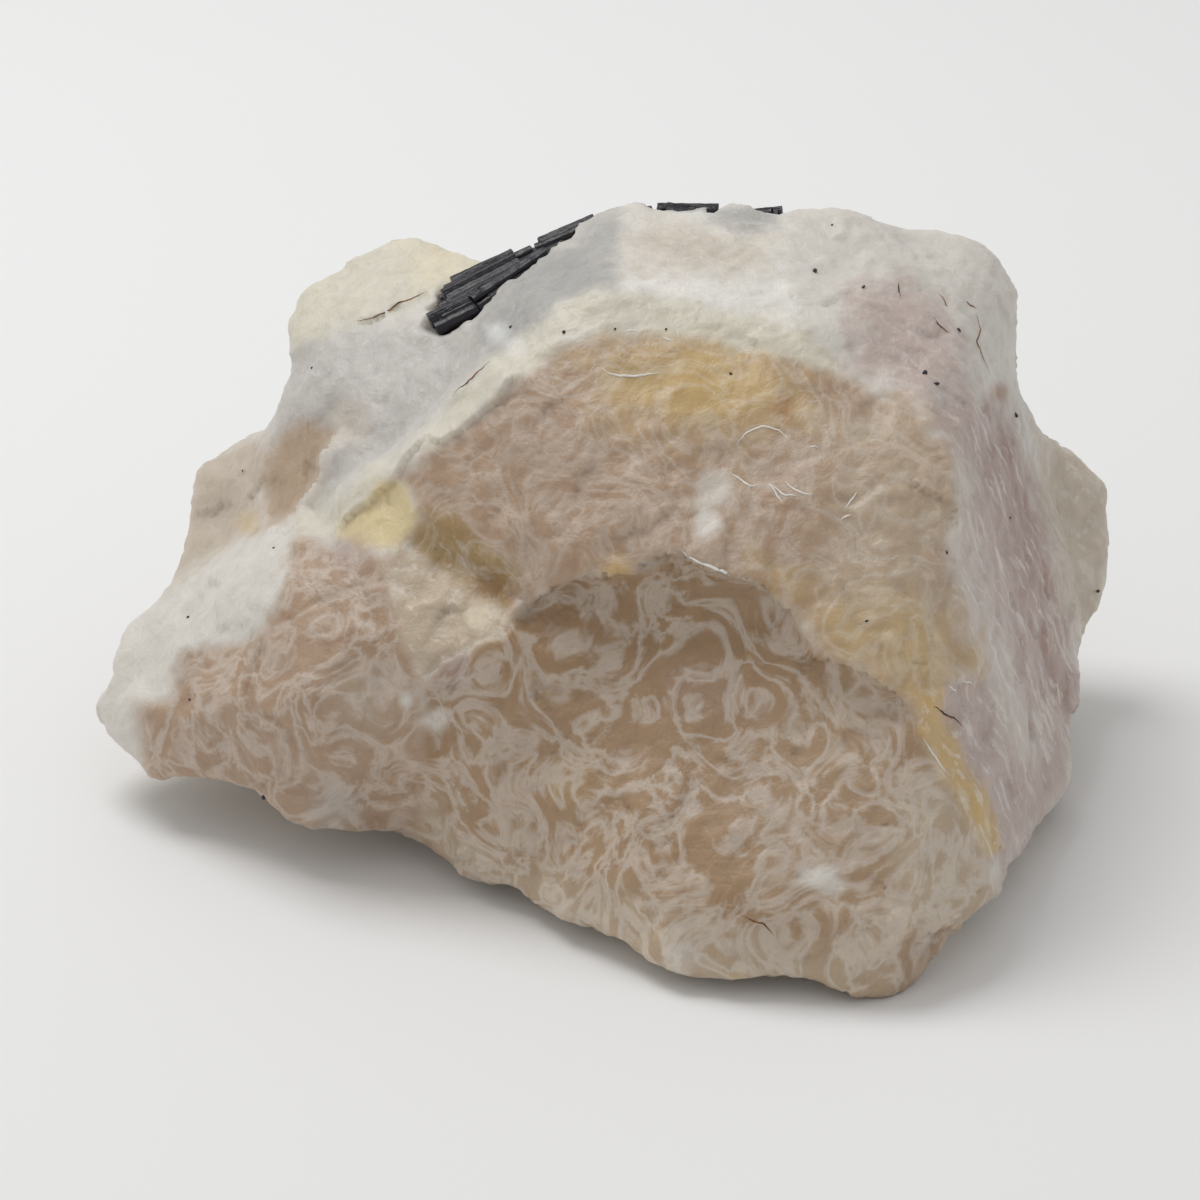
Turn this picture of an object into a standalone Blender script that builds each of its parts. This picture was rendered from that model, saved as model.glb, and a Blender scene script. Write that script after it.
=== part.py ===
"""Rough rose quartz with a seam of black tourmaline.

Metres, +Z up. The stone rests on a small flat spot at Z 0 and its front faces -Y. The origin is under the
middle of its box. The sides that show from the front are drawn as lines and spots on a front view that looks
down a little, each with its depth. The back and the underside are given as places in space. Both sheets share
one outline.
"""

import math

import bmesh
import bpy
from mathutils import Vector, noise
from mathutils.geometry import delaunay_2d_cdt

# Driving dimensions
LENGTH = 0.123  # left tip to right lobe
MM = LENGTH / 123  # one mm of the drawing below, whose length is 123 mm
LOOK_DOWN = math.radians(25)
SIGHT = 600  # mm from the eye to the middle of the front view
MIDDLE = Vector((-1.15, 2.3, 26.4))  # mm, the place in space behind the middle of the front view
GRAIN = 0.8  # mm, cell of the mesh that the two sheets are turned into
STONE_TRIANGLES = 7900
GAP = 0.3  # mm between the tourmaline and its pocket

# Broken surface, in mm
CHIP_SIZE = 10.0
CHIP_RISE = 0.6
SWELL_SIZE = 15.0
SWELL_RISE = 0.5
FULLNESS = 0.2  # makes up for what the smoothing takes off

# Tourmaline bars: sides, how far each third side bows out, and the turn from one bar to the next
BAR_SIDES = 9
BAR_BOW = 0.08
BAR_ROLL = 0.7
SEAM_GRAIN = 0.25  # mm
SEAM_TRIANGLES = 900

QUARTZ_COLOUR = (0.56, 0.47, 0.38)
TOURMALINE_COLOUR = (0.012, 0.009, 0.014)

# Outline of the front view, clockwise from the left tip: (across, up, depth) in mm
OUTLINE = (
    (-59.8, -12.4, 9), (-58.7, -10.7, 9), (-57.5, -9.4, 8), (-57.1, -6.6, 8), (-56.4, -4.7, 9),
    (-52.9, -0.9, 12), (-50.4, 2.1, 15), (-50.0, 4.0, 20), (-48.9, 7.4, 22), (-48.1, 10.8, 23),
    (-48.1, 13.3, 24), (-47.4, 16.1, 25), (-45.3, 17.5, 25), (-42.0, 18.7, 24), (-39.5, 20.1, 21),
    (-38.0, 21.9, 13), (-36.9, 25.3, 14), (-36.0, 28.0, 15), (-36.6, 31.1, 16), (-35.6, 34.8, 17),
    (-34.5, 37.1, 18), (-31.6, 38.0, 18), (-28.5, 40.4, 19), (-25.2, 41.8, 19), (-22.2, 42.8, 19),
    (-19.2, 41.8, 18), (-16.1, 40.9, 17), (-13.4, 39.5, 13), (-11.2, 40.5, 10), (-8.6, 41.6, 9),
    (-6.0, 42.9, 8), (-2.4, 44.4, 7), (0.4, 45.6, 6), (4.0, 46.8, 5), (7.1, 46.6, 5), (10.2, 46.1, 5),
    (13.2, 46.1, 5), (15.8, 46.6, 6), (18.2, 46.6, 6), (20.8, 45.8, 6), (25.4, 46.0, 6),
    (28.1, 46.4, 6), (32.4, 45.1, 8), (34.7, 44.7, 9), (35.8, 43.8, 11), (39.1, 43.6, 12),
    (41.5, 43.3, 12), (43.6, 42.7, 12), (45.6, 41.4, 12), (47.3, 39.5, 12), (48.5, 37.1, 12),
    (49.2, 33.1, 12), (49.1, 29.2, 12), (49.4, 24.7, 13), (50.4, 22.5, 14), (51.5, 19.9, 16),
    (53.3, 19.2, 24), (57.1, 16.8, 27), (58.2, 14.6, 28), (59.5, 13.4, 29), (59.9, 11.8, 29),
    (59.6, 10.7, 29), (60.0, 6.5, 28), (59.8, 2.0, 27), (58.6, -1.3, 26), (56.6, -4.6, 23),
    (56.4, -6.5, 18), (56.4, -11.2, 15), (55.6, -13.9, 13), (55.6, -16.7, 10), (55.2, -21.8, 2),
    (54.4, -23.5, -1), (52.2, -25.9, -7), (49.4, -30.5, -16), (47.8, -31.6, -19), (47.4, -34.8, -23),
    (45.5, -36.2, -26), (42.6, -38.5, -29), (40.9, -40.7, -29), (37.9, -44.2, -30), (36.6, -45.8, -31),
    (34.4, -46.8, -33), (31.2, -46.7, -34), (26.7, -46.1, -35), (24.9, -44.9, -34), (22.4, -44.4, -34),
    (19.4, -44.8, -34), (15.8, -45.3, -34), (11.8, -44.8, -33), (7.5, -43.6, -32), (4.7, -42.2, -30),
    (0.9, -39.5, -27), (-5.9, -36.9, -21), (-9.1, -34.5, -17), (-11.9, -33.6, -15),
    (-13.6, -33.9, -14), (-15.8, -32.4, -12), (-18.7, -30.5, -9), (-22.1, -27.9, -6),
    (-25.3, -27.5, -7), (-29.6, -28.0, -9), (-33.4, -27.5, -9), (-37.5, -25.9, -9), (-40.9, -22.9, -6),
    (-43.5, -22.1, -4), (-46.5, -21.5, -2), (-53.2, -21.4, 2), (-54.1, -19.5, 3), (-55.9, -18.0, 5),
    (-58.0, -16.0, 7),
)

# Edges that stand in front of what is drawn beside them. Each has the way to what lies behind, and how much
# deeper that is at the edge's first and at its last point.
BROW_LEFT = (
    (-35.6, 9.1, 0), (-32.2, 9.3, -3), (-30.0, 12.9, -6), (-27.4, 15.9, -8), (-24.1, 16.9, -9),
    (-21.2, 20.2, -11), (-17.4, 23.9, -12.5), (-15.3, 26.6, -13), (-12.8, 28.2, -13),
)
FLANK_RIB = ((-30.5, 20.6, 2), (-32.2, 17.1, 0), (-33.0, 14.6, 1), (-34.4, 12.2, 2))
LOBE_TOP = ((-39.2, 8.6, 3), (-42.2, 7.3, 6), (-44.1, 5.8, 8), (-47.6, 3.5, 11))
FLANK_LEFT = ((-39.1, 18.8, 13), (-40.1, 15.5, 13), (-40.0, 12.4, 12))
RIGHT_FLANK = ((52.0, 15.5, 17), (53.0, 11.0, 18), (54.6, 5.5, 18), (55.2, 0.5, 18))
WEDGE_TOP = (
    (-23.8, 6.4, -14), (-20.7, 4.9, -15), (-18.5, 3.2, -16), (-15.9, 1.5, -18), (-13.1, -0.5, -20),
    (-10.5, -1.6, -21.5),
)
LIP = (
    (-6.2, 0.8, -24), (-3.1, 2.6, -25), (0.4, 2.9, -26), (4.4, 2.7, -27), (9.4, 5.4, -29),
    (14.4, 3.1, -30), (18.9, 1.8, -31), (21.8, -0.8, -31), (22.8, -2.1, -31), (27.2, -7.1, -32.5),
    (32.6, -9.4, -33.5), (36.4, -12.5, -34),
)
SHELF = (
    (37.4, -14.6, -34.5), (38.8, -17.2, -34), (41.5, -22.4, -33), (43.8, -25.4, -31.5),
    (46.0, -29.6, -29), (46.2, -33.6, -28),
)
CORNER_LIP = ((38.4, -38.9, -35), (40.6, -38.2, -32))
STEPS = (
    (BROW_LEFT, (-0.5, 0.9), 5, 6),
    (FLANK_RIB, (-0.9, 0.1), 3, 4),
    (LOBE_TOP, (-0.2, 0.9), 6, 8),
    (FLANK_LEFT, (-0.8, 0.1), 7, 3),
    (RIGHT_FLANK, (0.8, 0.0), 7, 7),
    (WEDGE_TOP, (0.5, 0.9), 1, 4),
    (LIP, (-0.2, -1.0), 3.5, 2),
    (SHELF, (0.9, 0.3), 1, 3),
    (CORNER_LIP, (0.1, -0.9), 4, 4),
)

# Creases and brinks that the surface only bends along
BROW_RIGHT = (
    (-10.1, 28.9, -13), (-8.2, 31.5, -13), (-5.3, 34.9, -13), (-1.4, 36.6, -13), (2.4, 36.7, -13.5),
    (7.1, 35.8, -14), (11.8, 35.3, -14), (18.8, 33.2, -15), (23.5, 31.4, -16), (29.4, 26.8, -18),
    (35.3, 25.2, -19), (38.2, 23.9, -20),
)
PALE_BAND = (
    (-31.2, 7.6, -5), (-30.4, 9.6, -6), (-27.1, 11.8, -8), (-24.1, 14.5, -11), (-23.1, 17.2, -12.5),
    (-20.9, 19.3, -14), (-15.3, 20.9, -16), (-14.1, 22.5, -16), (-11.8, 23.6, -17), (-10.6, 26.0, -17),
    (-8.5, 26.8, -17),
)
LOBE_BRINK = (
    (-36.2, 7.6, -4), (-36.8, 2.9, -10), (-37.9, -0.6, -11), (-42.0, -4.9, -7), (-45.4, -5.6, -4),
    (-49.1, -5.6, -1), (-49.5, -9.4, -2), (-51.8, -12.6, -1), (-54.8, -12.2, 2),
)
WEDGE_FOOT = (
    (-10.6, -3.6, -22.5), (-11.6, -4.8, -23), (-15.3, -5.6, -22.5), (-18.2, -7.3, -21.5),
    (-20.9, -9.8, -20.5),
)
WEDGE_LEFT = ((-24.9, 4.4, -14.5), (-24.4, -2.4, -18.5), (-22.5, -6.5, -20))
SLAB_FOOT = ((-21.2, 10.6, -15), (-17.6, 8.8, -17), (-13.6, 6.8, -19), (-10.6, 3.9, -21))
CREAM_FOOT = ((-21.9, 35.4, 8), (-24.2, 34.1, 8), (-26.9, 32.4, 8), (-31.2, 30.8, 9), (-33.4, 29.2, 10))
CREST_LUMP = ((-4.8, 36.6, -8), (-4.4, 40.8, -1), (-2.6, 43.2, 4))
PANEL_STEP = ((2.1, 37.6, -11), (2.4, 39.9, -6), (3.5, 41.8, -2), (2.6, 43.8, 1))
FRONT_EDGE = (
    (38.4, 21.2, -22), (40.0, 18.8, -23), (41.5, 17.0, -24), (41.7, 11.4, -26), (42.1, 8.0, -27),
    (41.2, 5.6, -28), (41.7, 2.0, -28), (42.8, -1.4, -28), (44.2, -6.6, -28),
)
UNDERCUT = (
    (0.0, -31.8, -28), (9.4, -35.3, -33), (18.8, -37.1, -36), (29.4, -38.8, -37.5), (35.4, -38.6, -37),
)
RIGHT_CREST = ((38.8, 33.5, -6), (41.5, 30.0, -8), (42.9, 26.5, -10), (44.0, 22.0, -13))
SEAM_BED = ((-19.8, 33.3, 1.5), (-15.5, 35.6, 2.5), (-11.2, 38.6, 4.0), (-6.5, 41.6, 6.5), (-3.5, 43.2, 7))
RIGHT_FOLD = ((44.5, 35.2, 3), (46.2, 31.0, 2), (47.4, 26.5, 4), (48.8, 22.4, 8))
CREASES = (
    BROW_RIGHT, PALE_BAND, LOBE_BRINK, WEDGE_FOOT, WEDGE_LEFT, SLAB_FOOT, CREAM_FOOT, CREST_LUMP, PANEL_STEP,
    FRONT_EDGE, UNDERCUT, RIGHT_CREST, SEAM_BED, RIGHT_FOLD,
)

# Single places on the front sheet
FRONT_SPOTS = (
    # back cream block and grey plane
    (-31.0, 35.0, 13), (-22.5, 38.5, 14), (-14.5, 38.3, 10), (-30.0, 25.5, 3), (-23.5, 28.5, 1),
    (-17.0, 31.0, -1), (-33.8, 22.6, 5), (-26.5, 20.5, -3), (-22.0, 24.0, -4), (-12.1, 31.3, -7),
    (-10.0, 35.5, -5), (-6.5, 37.0, -7),
    # left flank and left block
    (-36.2, 16.4, 9), (-37.2, 12.0, 9.5), (-44.5, 14.0, 20), (-43.5, 10.0, 19), (-46.0, 7.0, 18),
    # crest panels and the pale ground to their right
    (0.5, 40.5, -5), (11.8, 41.0, -4), (17.0, 43.4, 1), (21.0, 39.0, -7), (27.0, 41.0, -2), (30.0, 34.0, -12),
    (34.5, 38.0, -3), (35.5, 30.0, -13), (41.0, 37.0, 2),
    # right face and right lobe
    (45.0, 14.0, -14), (47.0, 8.0, -9), (50.0, 12.0, 5), (47.5, 0.0, -12), (51.5, 4.0, 3), (54.0, -6.0, 9),
    (47.0, -8.0, -17), (51.0, -10.0, -3), (53.5, -16.0, 2), (48.0, -17.0, -19), (51.5, -22.0, -7),
    (46.0, -20.0, -25), (48.2, -27.5, -20), (55.8, 12.0, 25), (57.0, 5.0, 24),
    # upper front, from the brow down to the lip
    (-17.0, 15.0, -17), (-11.0, 17.0, -19), (-12.5, 11.0, -20), (-5.0, 24.0, -19), (-4.0, 14.0, -22),
    (-3.5, 7.5, -25), (5.0, 29.0, -18), (5.0, 18.0, -23), (5.0, 10.0, -26.5), (14.0, 27.0, -19),
    (15.5, 16.0, -24), (16.0, 8.0, -28), (24.0, 22.0, -22), (26.0, 12.0, -27), (27.0, 3.0, -30),
    (33.0, 17.0, -25), (34.0, 8.0, -29), (34.5, -1.0, -32), (39.0, -6.0, -32),
    # hollow under the lip
    (-6.0, -6.0, -22.5), (3.0, -4.0, -22.5), (13.0, -3.0, -25), (20.0, -8.0, -28), (-2.0, -14.0, -23),
    (9.0, -14.0, -26), (20.0, -17.0, -30), (30.0, -17.0, -32),
    # lower front
    (-12.0, -13.0, -21.5), (-12.0, -23.0, -20), (-2.0, -23.0, -25), (8.0, -26.0, -30), (18.0, -27.0, -33.5),
    (28.0, -27.0, -35), (35.0, -23.0, -35), (38.0, -31.0, -36), (43.0, -33.5, -33),
    # left lobe
    (-35.3, -11.8, -17), (-29.0, -4.0, -17), (-28.5, 5.0, -12), (-32.0, 3.0, -11), (-43.5, -12.0, -10),
    (-48.5, -15.0, -4), (-30.5, -20.0, -14), (-39.0, -19.0, -11), (-25.0, -16.0, -18), (-18.0, -18.0, -18.5),
    (-45.0, 0.5, 0), (-41.0, 3.5, -2), (-52.5, -7.0, 5),
)

# Bars of the tourmaline seam, drawn where they come through the surface: start, end and radius in mm
SEAM_BARS = (
    ((-19.9, 32.9, 1.2), (-12.0, 36.8, 2.0), 2.0),
    ((-18.8, 34.5, 3.2), (-9.4, 39.4, 4.6), 2.3),
    ((-18.6, 36.0, 6.2), (-8.2, 40.8, 7.4), 1.9),
    ((-14.6, 35.2, 1.0), (-6.5, 40.5, 4.6), 1.6),
    ((-11.2, 38.6, 5.2), (-3.5, 42.3, 6.8), 2.0),
    ((-8.2, 40.8, 7.8), (-0.6, 44.1, 8.2), 1.8),
    ((-2.5, 43.3, 8.5), (7.5, 45.2, 8.8), 1.8),
    ((5.6, 46.2, 5.8), (13.3, 45.4, 5.0), 1.2),
    ((5.0, 45.2, 8.8), (14.5, 45.1, 8.0), 1.8),
    ((12.0, 44.9, 8.0), (20.9, 45.8, 6.2), 1.4),
)
SEAM_SUNK = 0.7  # mm, how far the bars' axes lie below the surface

# Places in space on the back and the underside, in mm from the middle of the bottom
BACK_FOOT = ((-45, 28, 12), (-28, 39, 7), (-8, 36, 3), (13, 44, 3), (35, 39, 6), (50, 28, 9))
RESTING_RING = (
    (26, -24, -1), (3, -17, -1), (-8, -1, -1), (-4, 15, -1), (11, 24, -1), (29, 17, -1), (36, 0, -1),
    (35, -16, -1), (26, -24, -1),
)
BACK_SPOTS = (
    # underside
    (-28, 1, 4.5), (-44, 6, 6), (-32, 18, 5.5), (-53, 14, 8), (44, -8, 3.5), (46, 12, 4.5),
    # lower back, then upper back
    (-46, 36, 22), (-38, 41, 34), (-28, 45, 30), (-12, 41, 27), (4, 46, 31), (27, 48, 25), (46, 41, 28),
    (55, 38, 16),
    (-31, 44, 44), (-24, 46, 46), (-13, 42, 46), (5, 38, 54), (23, 37, 56), (39, 38, 50), (47, 36, 42),
)

# The back sheet has a rim of its own inside the outline and deeper, so that no edge of the stone is a knife
RIM_DEPTH = 4.5  # mm
RIM_INSET = 1.3  # mm
RIM_INSET_BELOW = 1.8  # mm more along the bottom, where the underside is seen edge on


def sight_axes():
    """The front view's across, up and depth axes in space."""
    across = Vector((1, 0, 0))
    up = Vector((0, math.sin(LOOK_DOWN), math.cos(LOOK_DOWN)))
    return across, up, across.cross(up) * -1


def seen(across, up, depth):
    """The place in space, in mm, that is drawn here on the front view and lies at this depth."""
    spread = 1 + depth / SIGHT
    right, top, away = sight_axes()
    return MIDDLE + right * across * spread + top * up * spread + away * depth


def drawn(place):
    """The (across, up, depth) of a place in space, the other way round from seen."""
    right, top, away = sight_axes()
    from_middle = Vector(place) - MIDDLE
    depth = from_middle.dot(away)
    spread = 1 + depth / SIGHT
    return from_middle.dot(right) / spread, from_middle.dot(top) / spread, depth


def set_back(line, shift, back_at_first, back_at_last):
    """The line that lies behind an edge."""
    last = len(line) - 1
    behind = []
    for index, (across, up, depth) in enumerate(line):
        back = back_at_first + (back_at_last - back_at_first) * index / last
        behind.append((across + shift[0], up + shift[1], depth + back))
    return behind


def sheet(lines, spots):
    """The corners and triangles of a surface through these drawn points, inside the outline."""
    points = list(OUTLINE)
    edges = []
    for line in lines:
        first = len(points)
        points += line
        edges += [(first + step, first + step + 1) for step in range(len(line) - 1)]
    points += spots
    flat = [Vector(point[:2]) for point in points]
    rim = [list(range(len(OUTLINE)))]
    placed, _, triangles, sources, _, _ = delaunay_2d_cdt(flat, edges, rim, 1, 1e-5)
    corners = [seen(at.x, at.y, points[source[0]][2]) for at, source in zip(placed, sources)]
    return corners, triangles


def front_sheet():
    lines = list(CREASES)
    for edge, shift, back_at_first, back_at_last in STEPS:
        lines += [edge, set_back(edge, shift, back_at_first, back_at_last)]
    return sheet(lines, FRONT_SPOTS)


def back_rim():
    """Places just inside the outline and deeper, one at each of its corners."""
    rim = []
    for index, (across, up, depth) in enumerate(OUTLINE):
        before = OUTLINE[index - 1]
        after = OUTLINE[(index + 1) % len(OUTLINE)]
        along = Vector((after[0] - before[0], after[1] - before[1])).normalized()
        inward = Vector((along.y, -along.x))
        inward *= RIM_INSET + RIM_INSET_BELOW * max(0, inward.y)
        deepest = max(depth, before[2], after[2])
        rim.append((across + inward.x, up + inward.y, deepest + RIM_DEPTH))
    return rim


def back_sheet():
    lines = [[drawn(place) for place in line] for line in (BACK_FOOT, RESTING_RING)]
    return sheet(lines, back_rim() + [drawn(place) for place in BACK_SPOTS])


def rough_block():
    """The closed, coarse form of the stone: both sheets sewn along the outline."""
    shape = bmesh.new()
    for (corners, triangles), faces_away in ((front_sheet(), False), (back_sheet(), True)):
        made = [shape.verts.new(corner * MM) for corner in corners]
        for triangle in triangles:
            turn = reversed(triangle) if faces_away else triangle
            shape.faces.new([made[index] for index in turn])
    bmesh.ops.remove_doubles(shape, verts=shape.verts, dist=1e-6)
    return shape


def add_object(name, shape):
    mesh = bpy.data.meshes.new(name)
    shape.to_mesh(mesh)
    shape.free()
    made = bpy.data.objects.new(name, mesh)
    bpy.context.scene.collection.objects.link(made)
    return made


def settle(made):
    """Turns what the modifiers make into the object's own mesh."""
    graph = bpy.context.evaluated_depsgraph_get()
    mesh = bpy.data.meshes.new_from_object(made.evaluated_get(graph))
    made.modifiers.clear()
    spent = made.data
    made.data = mesh
    bpy.data.meshes.remove(spent)


def remesh(made, cell):
    """Fuses what overlaps into one even, closed skin with cells of this many mm."""
    skin = made.modifiers.new("Skin", "REMESH")
    skin.mode = "VOXEL"
    skin.voxel_size = cell * MM
    settle(made)


def weathered(place):
    """How far, in mm, the broken surface stands out at this place in mm: shallow chips between low swells."""
    nearest, second = noise.voronoi(place / CHIP_SIZE)[0][:2]
    chip = min(second - nearest, 0.5) - 0.25
    swell = noise.fractal(place / SWELL_SIZE, 0.6, 2.0, 2)
    return FULLNESS + SWELL_RISE * swell - CHIP_RISE * chip


def roughen(made):
    """Moves every point along its normal as the weathering says."""
    shape = bmesh.new()
    shape.from_mesh(made.data)
    axes = {f"use_axis_{axis}": True for axis in "xyz"}
    bmesh.ops.smooth_vert(shape, verts=shape.verts, factor=0.5, **axes)
    shape.normal_update()
    rises = [weathered(corner.co / MM) for corner in shape.verts]
    for corner, rise in zip(shape.verts, rises):
        corner.co += corner.normal * rise * MM
    shape.to_mesh(made.data)
    shape.free()


def decimate(made, triangles):
    """Fewer, larger facets, with the sharp edges kept."""
    count = sum(len(face.vertices) - 2 for face in made.data.polygons)
    fewer = made.modifiers.new("Facets", "DECIMATE")
    fewer.ratio = triangles / count
    fewer.use_collapse_triangulate = True
    settle(made)


def cut(made, cutter):
    """Takes the cutter's shape out of the object."""
    cutter.hide_render = True
    cutter.display_type = "WIRE"
    taken = made.modifiers.new(cutter.name, "BOOLEAN")
    taken.operation = "DIFFERENCE"
    taken.object = cutter


def add_ground():
    """A block below Z 0, which grinds the stone's lowest bumps flat."""
    shape = bmesh.new()
    bmesh.ops.create_cube(shape, size=2 * LENGTH)
    bmesh.ops.translate(shape, verts=shape.verts, vec=(0, 0, -LENGTH))
    return add_object("ground", shape)


def add_bar(shape, start, end, radius, roll):
    """One prism of the seam, from start to end in mm: a three-sided column with bowed sides, cut askew."""
    along = (end - start).normalized()
    side = along.cross(Vector((0, 0, 1))).normalized()
    over = side.cross(along)
    rings = []
    for centre, lean in ((start, 0.5), (end, -0.4)):
        ring = []
        for step in range(BAR_SIDES):
            turn = math.tau * step / BAR_SIDES
            reach = radius * (1 + BAR_BOW * math.cos(3 * turn))
            spread = side * math.cos(turn + roll) + over * math.sin(turn + roll)
            skew = along * lean * radius * math.cos(turn)
            ring.append(shape.verts.new((centre + spread * reach + skew) * MM))
        rings.append(ring)
    first, last = rings
    for step in range(BAR_SIDES):
        after = (step + 1) % BAR_SIDES
        shape.faces.new((first[step], first[after], last[after], last[step]))
    shape.faces.new(first[::-1])
    shape.faces.new(last)


def add_seam(name, grown=0.0):
    """The bars of the tourmaline seam, each grown by this many mm, fused into one body."""
    shape = bmesh.new()
    sunk = Vector((0, 0, -SEAM_SUNK))
    for index, (start, end, radius) in enumerate(SEAM_BARS):
        first = seen(*start) + sunk
        last = seen(*end) + sunk
        longer = (last - first).normalized() * grown
        add_bar(shape, first - longer, last + longer, radius + grown, index * BAR_ROLL)
    bmesh.ops.recalc_face_normals(shape, faces=shape.faces)
    seam = add_object(name, shape)
    remesh(seam, SEAM_GRAIN)
    decimate(seam, SEAM_TRIANGLES)
    return seam


def add_material(made, colour, roughness):
    material = bpy.data.materials.new(made.name)
    material.use_nodes = True
    surface = material.node_tree.nodes["Principled BSDF"]
    surface.inputs["Base Color"].default_value = (*colour, 1)
    surface.inputs["Roughness"].default_value = roughness
    made.data.materials.clear()
    made.data.materials.append(material)


def add_quartz():
    stone = add_object("rose_quartz", rough_block())
    remesh(stone, GRAIN)
    roughen(stone)
    decimate(stone, STONE_TRIANGLES)
    cut(stone, add_ground())
    cut(stone, add_seam("pocket", GAP))
    add_material(stone, QUARTZ_COLOUR, 0.45)


def add_tourmaline():
    seam = add_seam("tourmaline_vein")
    add_material(seam, TOURMALINE_COLOUR, 0.3)


def main():
    for old in list(bpy.data.objects):
        bpy.data.objects.remove(old)
    add_quartz()
    add_tourmaline()


if __name__ == "__main__":
    main()
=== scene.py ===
"""Looks of a rough rose quartz with a seam of black tourmaline in its crest.

Metres, +Z up. The broken surface of the quartz is worked over with ledges, chips and striae, and tinted with soft
patches. The drawing below is made on the front view, 1200 px wide and high, and is thrown onto the stone from the
eye of that view. The sides that the front view doesn't reach have patches at places in space.
"""

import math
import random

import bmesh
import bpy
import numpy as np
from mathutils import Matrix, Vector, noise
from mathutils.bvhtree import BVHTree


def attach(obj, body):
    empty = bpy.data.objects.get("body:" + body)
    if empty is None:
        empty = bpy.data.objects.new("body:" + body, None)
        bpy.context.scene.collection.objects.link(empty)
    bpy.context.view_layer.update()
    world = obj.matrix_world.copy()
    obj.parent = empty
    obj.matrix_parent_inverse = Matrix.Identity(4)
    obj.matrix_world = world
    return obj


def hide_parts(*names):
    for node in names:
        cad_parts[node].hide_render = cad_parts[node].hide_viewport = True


bl_info = {
    "name": "Rough Rose Quartz with Tourmaline",
    "version": (1, 0, 0),
    "blender": (4, 5, 0),
    "location": "View3D > Sidebar > Quartz",
    "description": "Builds the finished surfaces of a rough rose quartz with a tourmaline seam",
    "category": "Object",
}

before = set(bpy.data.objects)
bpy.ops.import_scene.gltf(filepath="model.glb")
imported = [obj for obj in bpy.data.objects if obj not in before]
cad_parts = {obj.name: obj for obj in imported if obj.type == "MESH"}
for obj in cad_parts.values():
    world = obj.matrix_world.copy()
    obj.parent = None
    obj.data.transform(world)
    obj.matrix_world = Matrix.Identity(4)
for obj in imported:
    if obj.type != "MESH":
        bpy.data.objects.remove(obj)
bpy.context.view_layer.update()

MM = 0.001
BODY = "root"
HIDDEN_BY = 1.0  # mm that something must stand before a corner of the stone to hide it
FADE_STEPS = 150  # how far the front's patches run on over the stone's outline
SMOOTHING = 8

# Front view
PICTURE = 1200  # px
PIXELS_PER_MM = 8.5
LOOK_DOWN = math.radians(25)
SIGHT = 600  # mm from the eye to the middle of the view
MIDDLE = np.array((-1.15, 2.3, 26.4))  # mm
ACROSS = np.array((1, 0, 0))
UP = np.array((0, math.sin(LOOK_DOWN), math.cos(LOOK_DOWN)))
AWAY = np.array((0, math.cos(LOOK_DOWN), -math.sin(LOOK_DOWN)))
EYE = MIDDLE - AWAY * SIGHT

# Tints of the quartz, as the eye sees them in the light of the stage (red, green, blue of 255)
TINTS = {
    "pale": (214, 209, 200),
    "cream": (214, 208, 191),
    "straw": (226, 216, 190),
    "white": (232, 229, 222),
    "grey": (196, 192, 186),
    "smoke": (168, 166, 162),
    "glow": (222, 222, 218),
    "blush": (196, 182, 164),
    "mauve": (190, 172, 164),
    "plum": (160, 134, 124),
    "rose_brown": (172, 145, 120),
    "brown": (166, 137, 106),
    "umber": (146, 112, 72),
    "ochre": (196, 168, 118),
    "gold": (206, 174, 112),
    "olive": (166, 138, 92),
    "lemon": (214, 196, 150),
    "rust": (150, 98, 50),
    "clay": (176, 150, 122),
    "sand": (192, 174, 150),
}

# Lines of the drawing, in px of the front view, from left to right or top to bottom
BROW_LEFT = (
    (297, 521), (324, 521), (345, 490), (367, 464), (395, 456), (418, 429), (438, 409), (452, 397),
    (470, 374), (491, 360),
)
BROW_RIGHT = (
    (514, 355), (528, 333), (555, 303), (588, 289), (640, 288), (700, 300), (760, 318), (800, 333),
    (850, 372), (900, 386), (925, 397),
)
BAND_FOOT = (
    (335, 535), (342, 518), (370, 500), (395, 477), (404, 454), (422, 436), (441, 441), (470, 422),
    (480, 409), (500, 399), (510, 379), (528, 372),
)
WEDGE_TOP = ((398, 546), (424, 558), (443, 573), (465, 587), (489, 604), (511, 614))
WEDGE_FOOT = ((512, 624), (504, 638), (487, 639), (445, 660), (424, 682))
LIP_LEFT = ((512, 619), (547, 593), (559, 585), (574, 578), (603, 575), (637, 576), (642, 563), (680, 551))
LIP_RIGHT = ((680, 551), (693, 563), (722, 574), (761, 585), (785, 607), (794, 618))
LIP_LOW = ((795, 656), (831, 660), (877, 680), (909, 706))
SHELF = (
    (884, 680), (914, 705), (914, 724), (924, 736), (940, 763), (953, 790), (972, 816), (989, 845),
    (994, 857), (991, 887), (994, 901),
)
FRONT_EDGE = (
    (921, 420), (930, 428), (945, 443), (953, 456), (973, 480), (958, 532), (948, 553), (960, 611),
    (978, 662),
)
PATCH_TOP = ((867, 391), (905, 392), (918, 400), (921, 420))
EDGE_BACK = ((909, 481), (955, 504), (958, 532))
LOBE_VALLEY = ((294, 519), (267, 527), (241, 538), (225, 551), (195, 570), (174, 586))
LOBE_BRINK = (
    (300, 533), (287, 540), (286, 580), (278, 605), (262, 625), (243, 642), (214, 648), (183, 648),
    (180, 680), (165, 700), (134, 704),
)
RIB = ((341, 425), (324, 455), (321, 476), (305, 500), (294, 519))
CREAM_CRACK = ((354, 322), (372, 318), (390, 310), (397, 303), (430, 290))
CORNER_LIP = ((926, 931), (945, 927), (962, 927))

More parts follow.
